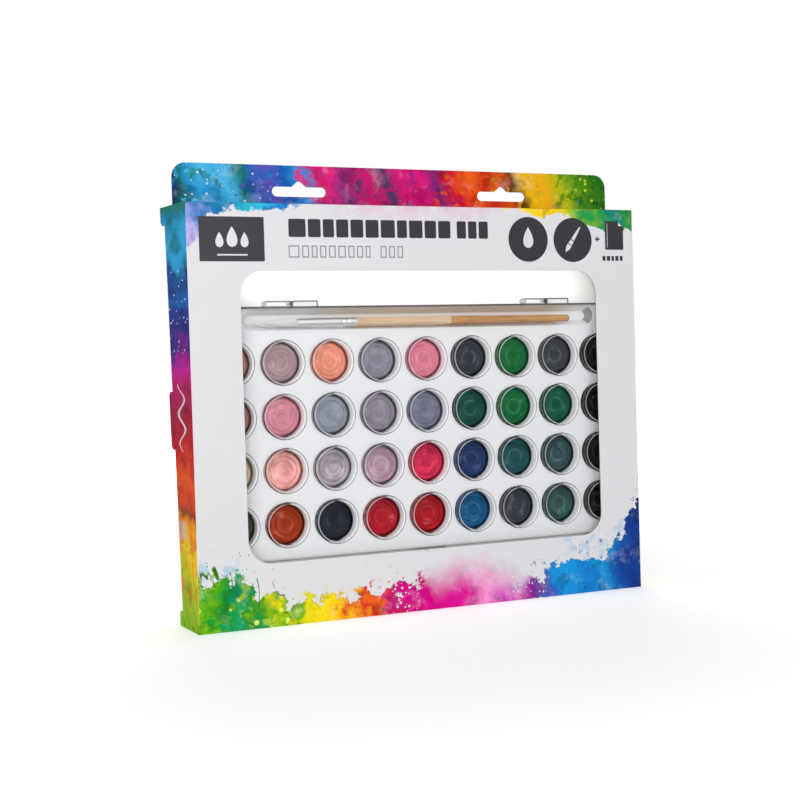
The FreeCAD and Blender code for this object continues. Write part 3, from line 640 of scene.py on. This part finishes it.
def paint_material(name, colour, centre_x, centre_z, seed):
    """A pressed cake: soft swirls, painted highlight arcs and ridge, and painted shade on its edge and in a
    ring.
    """
    s = Shader("cake_" + name)
    place = s.place()
    x, _, z = s.split(place)
    off_x = s.sub(x, centre_x)
    off_z = s.sub(z, centre_z)
    radius = s.distance(off_x, off_z, 0.01)
    dark = max(colour) < 0.25
    lower_row_glints = name[0] in "cd"       # the two lower rows get stronger painted highlights and painted shade at the top

    grain = s.noise(place, 3.2, 5.0, 0.65)
    curl = s.join(s.mul(radius, 0.48), s.mul(off_x, 0.14), s.add(s.mul(off_z, 0.14), seed))
    swirl = s.noise(curl, 1.0, 4.0, 0.55)
    clouds = s.noise(s.beside(off_x, off_z, seed * 9.0), 0.17, 4.0, 0.6)
    deep = scaled(colour, 0.72 if lower_row_glints else 0.84)
    pale = scaled(colour, 1.22 if lower_row_glints else 1.14, 0.003)
    shade = s.mix(s.ease(s.add(s.mul(clouds, 0.4), s.mul(swirl, 0.6)), 0.36, 0.64), deep, pale)

    # painted highlight colour for the glint arcs and the ridge ring
    if dark:
        glint_colour = scaled(colour, 1.7, 0.045)
    elif lower_row_glints:
        glint_colour = scaled(colour, 1.35, 0.09)
    else:
        glint_colour = scaled(colour, 1.3, 0.02)
    # painted highlight arcs across the cake
    turn = s.join(s.math("DIVIDE", off_x, radius), s.math("DIVIDE", off_z, radius),
                  s.add(seed, s.mul(radius, 0.05)))
    arcs = s.mul(s.ease(s.noise(turn, 1.1, 2.0), 0.50, 0.66), s.span(radius, 2.6, 4.6, 6.4, 9.2),
                 s.ease(swirl, 0.42, 0.58))
    shade = s.mix(s.mul(arcs, 0.75), shade, glint_colour)
    # painted highlight ring on the ridge
    thin_ring = s.mul(s.span(radius, 3.5, 3.9, 4.3, 4.7), s.ease(clouds, 0.38, 0.56))
    shade = s.mix(s.mul(thin_ring, 0.7 if dark else 0.25), shade, glint_colour)
    shade = s.tone(shade, s.add(0.92, s.mul(grain, 0.16)))
    # painted light and shade: the lower half lighter, the top darker
    if lower_row_glints:
        shade = s.tone(shade, s.add(0.84, s.mul(s.ease(off_z, 7.0, -3.0), 0.30)))

    pits, chance = s.cells(place, 0.75)
    pit = s.mul(s.ease(pits, 0.20, 0.10), s.below(chance[0], 0.16))
    # painted shade: darker on the cake's rounded edge, in the step ring and in the pits; the ridge a little
    # lighter as a painted highlight
    cake_edge_shade = s.mul(s.ease(radius, 8.8, 10.6), s.flip(s.mul(s.ease(radius, 11.1, 11.4), 0.7)))
    ring = s.span(radius, 7.2, 7.6, 7.9, 8.3)
    ridge = s.span(radius, 3.4, 4.1, 4.4, 5.1)
    darker = s.mul(s.flip(s.mul(cake_edge_shade, 0.50)), s.flip(s.mul(ring, 0.12)), s.flip(s.mul(pit, 0.3)))
    shade = s.tone(shade, s.mul(darker, s.add(1.0, s.mul(ridge, 0.10))))

    height = s.add(s.mul(grain, 0.4), s.mul(swirl, 1.6), s.mul(clouds, 1.0), s.mul(pit, -1.2))
    roughness = s.add(0.24, s.mul(swirl, 0.24))
    return s.done(s.principled(shade, roughness, s.bump(height, 0.00018, 0.5), Specular_IOR_Level=0.12))


def wood_material():
    """Pale bare wood near the ferrule, honey varnish over the rest."""
    s = Shader("brush_handle_wood")
    x, y, z = s.split(s.place())
    long_place = s.join(s.mul(x, 0.035), y, z)
    rings = s.noise(long_place, 1.25, 5.0, 0.62)
    fine = s.noise(s.join(s.mul(x, 0.12), s.mul(y, 3.2), s.mul(z, 3.2)), 1.4, 4.0, 0.6)
    pale = s.mix(s.ease(rings, 0.40, 0.62), (0.80, 0.62, 0.42), (0.66, 0.44, 0.25))
    honey = s.mix(s.ease(rings, 0.40, 0.62), (0.62, 0.34, 0.13), (0.44, 0.20, 0.06))
    dipped = s.ease(s.add(x, s.mul(s.noise(s.place(), 0.6, 2.0), 1.5)), 17.4, 18.0)
    colour = s.tone(s.mix(dipped, pale, honey), s.add(0.86, s.mul(fine, 0.28)))
    roughness = s.add(0.46, s.mul(dipped, -0.22), s.mul(fine, 0.08))
    return s.done(s.principled(colour, roughness, s.bump(fine, 0.00003, 0.5)))


def ferrule_material():
    s = Shader("ferrule_bright_metal")
    x, y, z = s.split(s.place())
    drawn = s.noise(s.join(s.mul(x, 0.10), s.mul(y, 4.0), s.mul(z, 4.0)), 1.6, 3.0, 0.6)
    smudge = s.noise(s.place(), 0.3, 3.0)
    colour = s.tone((0.93, 0.935, 0.94), s.add(0.93, s.mul(drawn, 0.10)))
    roughness = s.add(0.24, s.mul(drawn, 0.08), s.mul(smudge, 0.10))
    return s.done(s.principled(colour, roughness, s.bump(drawn, 0.00001, 0.4), Metallic=1.0))


def hair_material():
    s = Shader("white_brush_hair")
    x, y, z = s.split(s.place())
    strands = s.noise(s.join(s.mul(x, 0.06), s.mul(y, 5.0), s.mul(z, 5.0)), 1.8, 3.0, 0.6)
    tip = s.noise(s.place(), 0.22, 2.0)
    colour = s.mix(s.ease(strands, 0.38, 0.66), (0.86, 0.85, 0.83), (0.96, 0.955, 0.945))
    colour = s.tone(colour, s.add(0.92, s.mul(tip, 0.12)))
    return s.done(s.principled(colour, s.add(0.35, s.mul(strands, 0.2)), s.bump(strands, 0.00002, 0.5)))


# ---- meshes ----

def mesh_from(bm, name):
    data = bpy.data.meshes.new(name)
    bm.to_mesh(data)
    bm.free()
    return data


def put_in_scene(name, data):
    made = bpy.data.objects.new(name, data)
    bpy.context.scene.collection.objects.link(made)
    return made


def finish_piece(name, data, material, body, smooth=True):
    piece = put_in_scene(name, data)
    data.materials.append(material)
    for polygon in data.polygons:
        polygon.use_smooth = smooth
    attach(piece, body)
    return piece


def softened(points, steps=4):
    """A closed outline with each corner (a, b, reach) turned into a short curve of that reach."""
    outline = []
    count = len(points)
    for i, (a, b, reach) in enumerate(points):
        here = Vector((a, b))
        if reach <= 0:
            outline.append(here)
            continue
        before = Vector(points[i - 1][:2]) - here
        after = Vector(points[(i + 1) % count][:2]) - here
        start = here + before.normalized() * min(reach, before.length * 0.49)
        stop = here + after.normalized() * min(reach, after.length * 0.49)
        for k in range(steps + 1):
            t = k / steps
            outline.append(start * (1 - t) ** 2 + here * (2 * t * (1 - t)) + stop * t ** 2)
    return [tuple(p) for p in outline]


def lathe_into(bm, outline, x, z, segments=72):
    """Turns a closed (radius, depth) outline about a line along Y through (x, z)."""
    rings = []
    for radius, depth in outline:
        y = (FRONT_Y + depth) * MM
        if radius < 1e-6:
            rings.append([bm.verts.new((x * MM, y, z * MM))])
            continue
        ring = []
        for k in range(segments):
            a = 2 * math.pi * k / segments
            ring.append(bm.verts.new(((x + radius * math.cos(a)) * MM, y, (z + radius * math.sin(a)) * MM)))
        rings.append(ring)
    for one, two in zip(rings, rings[1:] + rings[:1]):
        if len(one) == 1 and len(two) == 1:
            continue
        for k in range(segments):
            nxt = (k + 1) % segments
            if len(one) == 1:
                bm.faces.new((one[0], two[nxt], two[k]))
            elif len(two) == 1:
                bm.faces.new((one[k], one[nxt], two[0]))
            else:
                bm.faces.new((one[k], one[nxt], two[nxt], two[k]))


# the cups' outlines: radius, depth and how far the corner is rounded
RIM_OUTLINE = [                # the clear part in front of the tray
    (CUP_BORE, DECK - 0.03, 0.05), (CUP_FLANGE, DECK - 0.03, 0.15), (CUP_FLANGE, DECK - 0.8, 0.30),
    (CUP_WALL, DECK - 0.8, 0.35), (CUP_WALL, RIM + 1.15, 0.25), (CUP_LIP, RIM + 0.95, 0.35),
    (CUP_LIP, RIM, 0.60), (CUP_BORE, RIM, 0.60),
]
WELL_OUTLINE = [               # the part sunk in the tray, which shows the cake through its wall
    (0.0, CUP_BACK, 0), (10.4, CUP_BACK, 0.9), (CUP_WELL, CUP_BACK - 1.6, 0.8), (CUP_WELL, DECK, 0.05),
    (CUP_BORE, DECK, 0.05), (CUP_BORE, PAINT_BACK, 0.25), (0.0, PAINT_BACK, 0),
]


def cup_row(row, name, outline, materials):
    """A row of turned pieces as one mesh; column by column they take turns with the materials."""
    bm = bmesh.new()
    curve = softened(outline)
    for column in range(COLUMNS):
        first = len(bm.faces)
        lathe_into(bm, curve, FIRST_COLUMN_X + column * PAN_PITCH_X, ROW_Z[row])
        bm.faces.ensure_lookup_table()
        for face in bm.faces[first:]:
            face.material_index = column % len(materials)
    bmesh.ops.recalc_face_normals(bm, faces=bm.faces)
    data = mesh_from(bm, name)
    piece = finish_piece("%s_row_%s" % (name, row), data, materials[0], "carton_back")
    for material in materials[1:]:
        data.materials.append(material)
    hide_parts("pan_cups_row_%s" % row)


HAIR_PROFILE = [               # how far along the tuft, and how wide it is there
    (0.0, 0.86), (0.12, 0.97), (0.32, 1.0), (0.55, 0.92), (0.74, 0.72), (0.88, 0.42), (1.0, 0.05),
]
ROOT = 0.0006                  # metres of hair inside the ferrule
HAIR_THICKNESS = 0.00013
HAIRS = 190


def cover_rings(bm, rings):
    """Faces from ring to ring, and over both ends."""
    count = len(rings[0])
    for one, two in zip(rings, rings[1:]):
        for k in range(count):
            nxt = (k + 1) % count
            bm.faces.new((one[k], one[nxt], two[nxt], two[k]))
    bm.faces.new(rings[0][::-1])
    bm.faces.new(rings[-1])


def hair_tuft(number, material):
    """Separate tapered hairs over a solid heart, drawn to a point."""
    low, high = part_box("brush_%d_bristles" % number)
    centre_y = (low.y + high.y) / 2
    centre_z = (low.z + high.z) / 2
    widest = (high.z - low.z) / 2
    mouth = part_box("brush_%d_ferrule" % number)[0].x
    length = mouth - low.x
    rng = random.Random(40 + number)
    bm = bmesh.new()

    def spine(share, angle, t, wander):
        r = widest * share * wander
        return Vector((mouth + ROOT - (length + ROOT) * t,
                       centre_y + r * math.cos(angle), centre_z + r * math.sin(angle)))

    def tube(share, angle, reach, sides=4):
        rings = []
        bend = rng.uniform(-0.10, 0.10)
        for t, wide in HAIR_PROFILE:
            middle = spine(share, angle + bend * t, t * reach, wide)
            slim = HAIR_THICKNESS * (1.0 - 0.75 * t)
            ring = []
            for k in range(sides):
                a = 2 * math.pi * k / sides
                ring.append(bm.verts.new(middle + Vector((0, math.cos(a) * slim, math.sin(a) * slim))))
            rings.append(ring)
        cover_rings(bm, rings)

    heart = []
    angles = [2 * math.pi * k / 24 for k in range(24)]
    for t, wide in HAIR_PROFILE:
        heart.append([bm.verts.new(spine(0.86, a, t * 0.985, wide)) for a in angles])
    cover_rings(bm, heart)
    for _ in range(HAIRS):
        tube(rng.uniform(0.84, 0.97), rng.uniform(0, 2 * math.pi), rng.uniform(0.93, 1.0))
    bmesh.ops.recalc_face_normals(bm, faces=bm.faces)
    data = mesh_from(bm, "hair_%d" % number)
    piece = finish_piece("brush_%d_hair" % number, data, material, "brush_%d" % number)
    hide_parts("brush_%d_bristles" % number)


# ---- printed shapes: thin films of ink on the board ----

INK = 0.02
LAYER = 0.03


def front_spot(a, b, lift):
    return Vector((a * MM, (FRONT_Y - lift) * MM, b * MM))


def left_spot(a, b, lift):
    """a is the depth and b the height on the leaning left wall."""
    slope = FLARE_BOTTOM + (FLARE_TOP - FLARE_BOTTOM) * b / CARTON_TOP
    return Vector((-(HALF_WIDTH + slope * a + lift) * MM, (FRONT_Y + a) * MM, b * MM))


def film(name, outlines, material, layer=0, spot=front_spot):
    """Flat shapes of ink, each outline a list of (across, up) in millimetres."""
    bm = bmesh.new()
    for outline in outlines:
        near = [bm.verts.new(spot(a, b, layer * LAYER + 0.01)) for a, b in outline]
        far = [bm.verts.new(spot(a, b, layer * LAYER + 0.01 + INK)) for a, b in outline]
        bm.faces.new(near)
        bm.faces.new(far[::-1])
        for i in range(len(outline)):
            j = (i + 1) % len(outline)
            bm.faces.new((near[i], far[i], far[j], near[j]))
    bmesh.ops.recalc_face_normals(bm, faces=bm.faces)
    bmesh.ops.triangulate(bm, faces=bm.faces)
    piece = finish_piece(name, mesh_from(bm, name), material, "carton_front", smooth=False)


def rounded_box(x0, x1, z0, z1, radius):
    return softened([(x0, z0, radius), (x1, z0, radius), (x1, z1, radius), (x0, z1, radius)], 6)


def disc(x, z, radius, count=64):
    return [(x + radius * math.cos(2 * math.pi * k / count), z + radius * math.sin(2 * math.pi * k / count))
            for k in range(count)]


def drop(x, z, size):
    """A water drop with its point upwards."""
    outline = []
    steps = 40
    for k in range(steps):
        a = math.pi * (-0.5 + 2 * k / steps)
        width = size * 0.52 * math.cos(a) * (0.5 - 0.5 * math.sin(a)) ** 0.55
        outline.append((x + width, z + size * (0.72 * math.sin(a) + 0.1)))
    return outline


def little_brush(x, z, size, turn):
    """A paintbrush: a pointed head and a long tapered handle."""
    shapes = [
        [(0.0, -1.0), (0.16, -0.66), (0.17, -0.42), (-0.17, -0.42), (-0.16, -0.66)],
        [(-0.15, -0.36), (0.15, -0.36), (0.13, -0.08), (-0.13, -0.08)],
        [(-0.12, -0.02), (0.12, -0.02), (0.10, 0.45), (0.04, 1.0), (-0.04, 1.0), (-0.10, 0.45)],
    ]
    c, s = math.cos(turn), math.sin(turn)
    return [[(x + size * (a * c - b * s), z + size * (a * s + b * c)) for a, b in shape] for shape in shapes]


def bars(left, bottom, top, widths, gap, radius):
    """A row of plain upright blocks that stands in for a line of print; 0 is a wider gap."""
    shapes = []
    for width in widths:
        if width:
            shapes.append(rounded_box(left, left + width, bottom, top, radius))
        left += width + gap if width else gap * 2
    return shapes


def hollow_bars(left, bottom, top, widths, gap, line):
    """The same in thin outline."""
    shapes = []
    for width in widths:
        if width:
            right = left + width
            for x0, x1, z0, z1 in ((left, left + line, bottom, top), (right - line, right, bottom, top),
                                   (left + line, right - line, bottom, bottom + line),
                                   (left + line, right - line, top - line, top)):
                shapes.append([(x0, z0), (x1, z0), (x1, z1), (x0, z1)])
        left += width + gap if width else gap * 3
    return shapes


def printed_shapes():
    dark = ink_material("print_ink_dark", (0.020, 0.020, 0.030))
    grey = ink_material("print_ink_grey", (0.30, 0.30, 0.32))
    white = ink_material("print_ink_white", (0.78, 0.78, 0.80))
    film("print_panel", [rounded_box(-130.6, -94.7, 196.2, 219.9, 0.6)], dark)
    film("print_panel_drops", [drop(-119.5, 207.2, 5.6), drop(-112.6, 208.6, 7.6), drop(-105.7, 207.2, 5.6)],
         white, 1)
    film("print_panel_rule", [rounded_box(-121.0, -104.2, 199.3, 200.1, 0.3)], white, 1)
    heading = [9.8, 7.3, 6.4, 7.1, 7.5, 7.8, 8.5, 6.0, 8.2, 7.1, 7.6, 0, 5.8, 5.4, 5.9]
    film("print_heading", bars(-80.9, 209.4, 219.2, heading, 1.35, 1.0), dark)
    subheading = [6.2, 4.0, 3.4, 3.6, 4.0, 4.4, 3.6, 3.6, 3.0, 0, 3.6, 3.6, 3.4]
    film("print_subheading", hollow_bars(-81.2, 198.3, 204.9, subheading, 1.5, 0.7), grey)
    film("print_badges", [disc(66.0, 209.3, 13.0), disc(95.9, 209.2, 13.0)], dark)
    film("print_badge_drop", [drop(66.0, 209.6, 8.4)], white, 1)
    film("print_badge_brush", little_brush(95.9, 209.4, 9.0, -0.6), white, 1)
    level = rounded_box(111.2, 114.4, 209.4, 210.3, 0.2)
    upright = rounded_box(112.35, 113.25, 208.3, 211.4, 0.2)
    film("print_plus", [level, upright], dark)
    page = [(118.2, 203.6), (130.9, 203.6), (130.9, 217.6), (127.4, 220.6), (118.2, 220.6)]
    film("print_page", [page], dark)
    folded_corner = [(127.6, 217.8), (130.2, 217.8), (127.6, 220.0)]
    edge_line = [(119.6, 205.0), (119.9, 205.0), (119.9, 219.2), (119.6, 219.2)]
    film("print_page_edge", [folded_corner, edge_line], white, 1)
    film("print_page_note", bars(116.2, 197.0, 199.9, [2.0, 2.4, 1.8, 2.2, 2.0], 0.9, 0.3), dark)
    wave = []
    steps = 40
    for side, order in ((-1, range(steps + 1)), (1, range(steps, -1, -1))):
        for k in order:
            t = k / steps
            middle = 15.0 + 4.6 * math.sin(t * 4.5 * math.pi)
            wave.append((middle + side * (0.5 + 0.9 * math.sin(t * math.pi)), 96 + 36 * t))
    film("print_side_wave", [wave], white, 0, left_spot)


# ---- putting it together ----

def dress(node_name, material):
    data = nodes[node_name].data
    if not data.materials:
        data.materials.append(material)
    for i in range(len(data.materials)):
        data.materials[i] = material


def dress_paints():
    """A material of its own for each cake; returns them by row, in column order."""
    cakes = {row: [] for row in ROW_Z}
    for name in sorted(nodes):
        if name.startswith("paint_") and name != "paint_tray":
            row, column, colour = name[6], int(name[7]), name[9:]
            seed = "abcd".index(row) * 9.0 + column - 1
            x = FIRST_COLUMN_X + (column - 1) * PAN_PITCH_X
            tint = [c / 100 for c in CAKE_COLOURS[colour]]
            cake = paint_material(name[6:], tint, x, ROW_Z[row], seed)
            cakes[row].append(cake)
            dress(name, cake)
    return cakes


def dress_all():
    dress("carton_front", carton_material())
    dress("back_card", back_card_material())
    dress("inner_riser", plain_board_material())
    paper = paper_material()
    for sheet in range(1, 6):
        dress("paper_sheet_%d" % sheet, paper)
    dress("paint_tray", white_plastic_material())
    lid_plastic = clear_plastic_material("clear_lid_plastic", (0.99, 0.992, 0.995), 0.004,
                                         (0.56, 0.56, 0.57), lid=True)
    dress("clear_lid", lid_plastic)
    dress("tape_tab", tape_material())
    cakes = dress_paints()
    cup_plastic = clear_plastic_material("clear_cup_plastic", (0.992, 0.993, 0.995), 0.010,
                                         (0.50, 0.50, 0.51))
    for row in ROW_Z:
        cup_row(row, "clear_cup_rims", RIM_OUTLINE, [cup_plastic])
        cup_row(row, "clear_cup_wells", WELL_OUTLINE, cakes[row])
    wood = wood_material()
    metal = ferrule_material()
    hair = hair_material()
    for number in (1, 2):
        dress("brush_%d_handle" % number, wood)
        dress("brush_%d_ferrule" % number, metal)
        hair_tuft(number, hair)
    printed_shapes()


def studio_floor():
    """A plain pale floor, with a glow for the camera that grows with the distance."""
    s = Shader("studio_floor")
    place = s.place()
    haze = s.noise(place, 0.002, 2.0)
    colour = s.tone((0.93, 0.93, 0.935), s.add(0.99, s.mul(haze, 0.02)))
    away = s.node("ShaderNodeVectorMath", {0: place}, operation="LENGTH").outputs["Value"]
    glow = s.tone((1.0, 1.0, 1.0), s.add(0.42, s.mul(s.ease(away, 150.0, 1100.0), 0.6)))
    glow = s.tone(glow, s.node("ShaderNodeLightPath").outputs["Is Camera Ray"])
    base = s.principled(colour, 0.85, Specular_IOR_Level=0.1, Emission_Strength=1.0)
    s.feed(base.node.inputs["Emission Color"], glow)
    bm = bmesh.new()
    bmesh.ops.create_grid(bm, x_segments=8, y_segments=8, size=12.0)
    data = mesh_from(bm, "studio_floor")
    data.materials.append(s.done(base))
    floor = put_in_scene("studio_floor", data)


def surroundings():
    """White all round: stronger where it is mirrored, and where the camera sees it."""
    world = bpy.data.worlds.new("studio")
    bpy.context.scene.world = world
    world.use_nodes = True
    tree = world.node_tree
    path = tree.nodes.new("ShaderNodeLightPath")
    mirrored = tree.nodes.new("ShaderNodeMapRange")
    mirrored.inputs["To Min"].default_value = 0.34
    mirrored.inputs["To Max"].default_value = 0.75
    tree.links.new(path.outputs["Is Glossy Ray"], mirrored.inputs["Value"])
    seen = tree.nodes.new("ShaderNodeMath")
    seen.operation = "MULTIPLY_ADD"
    seen.inputs[1].default_value = 0.66
    tree.links.new(path.outputs["Is Camera Ray"], seen.inputs[0])
    tree.links.new(mirrored.outputs["Result"], seen.inputs[2])
    background = tree.nodes["Background"]
    background.inputs["Color"].default_value = (1.0, 1.0, 1.0, 1.0)
    tree.links.new(seen.outputs[0], background.inputs["Strength"])


def area_lamp(name, at, aimed_at, power, size):
    lamp = bpy.data.lights.new(name, "AREA")
    lamp.energy = power
    lamp.size = size
    holder = put_in_scene(name, lamp)
    aim = (Vector(aimed_at) - Vector(at)).to_track_quat("-Z", "Y").to_matrix().to_4x4()
    holder.matrix_world = Matrix.Translation(at) @ aim
    return holder


def lamps():
    """Large soft lamps, one almost in front, and a hidden strip that lifts the shade on the sheets."""
    middle = (0, 0, 0.12)
    area_lamp("key", (-1.20, -1.40, 0.70), middle, 10.0, 0.9)
    area_lamp("front", (-0.1, -1.9, 0.35), middle, 5.0, 0.7)
    area_lamp("fill", (-0.50, -1.12, 0.15), middle, 3.2, 0.5)
    area_lamp("back", (0.6, 1.6, 1.2), middle, 12.0, 1.2)
    behind_window_top = (0.0, (FRONT_Y + 6.0) * MM, (WINDOW_TOP + 8.0) * MM)
    sheets_in_window = (0.0, (FRONT_Y + 27.0) * MM, 0.180)
    strip = area_lamp("strip", behind_window_top, sheets_in_window, 0.030, 0.240)
    strip.data.shape = "RECTANGLE"
    strip.data.size_y = 0.010
    strip.visible_camera = False
    strip.visible_glossy = False


def camera():
    """The photographer's place: a little to the left, just above the middle of the carton."""
    azimuth, elevation, roll = (math.radians(a) for a in (-23.754, 1.554, -1.737))
    distance = 0.7673
    target = Vector((-0.0184, -0.0165, 0.1192))
    back = Vector((math.sin(azimuth) * math.cos(elevation), -math.cos(azimuth) * math.cos(elevation),
                   math.sin(elevation)))
    data = bpy.data.cameras.new("camera")
    data.sensor_width = 36.0
    data.lens = 61.89
    data.clip_start = 0.01
    data.clip_end = 50.0
    holder = put_in_scene("camera", data)
    level = (-back).to_track_quat("-Z", "Y").to_matrix().to_4x4()
    at = Matrix.Translation(target + back * distance)
    holder.matrix_world = at @ level @ Matrix.Rotation(roll, 4, "Z")
    bpy.context.scene.camera = holder


dress_all()
studio_floor()
surroundings()
lamps()
camera()
bpy.context.scene.view_settings.view_transform = "Standard"
bpy.context.scene.cycles.transparent_max_bounces = 40
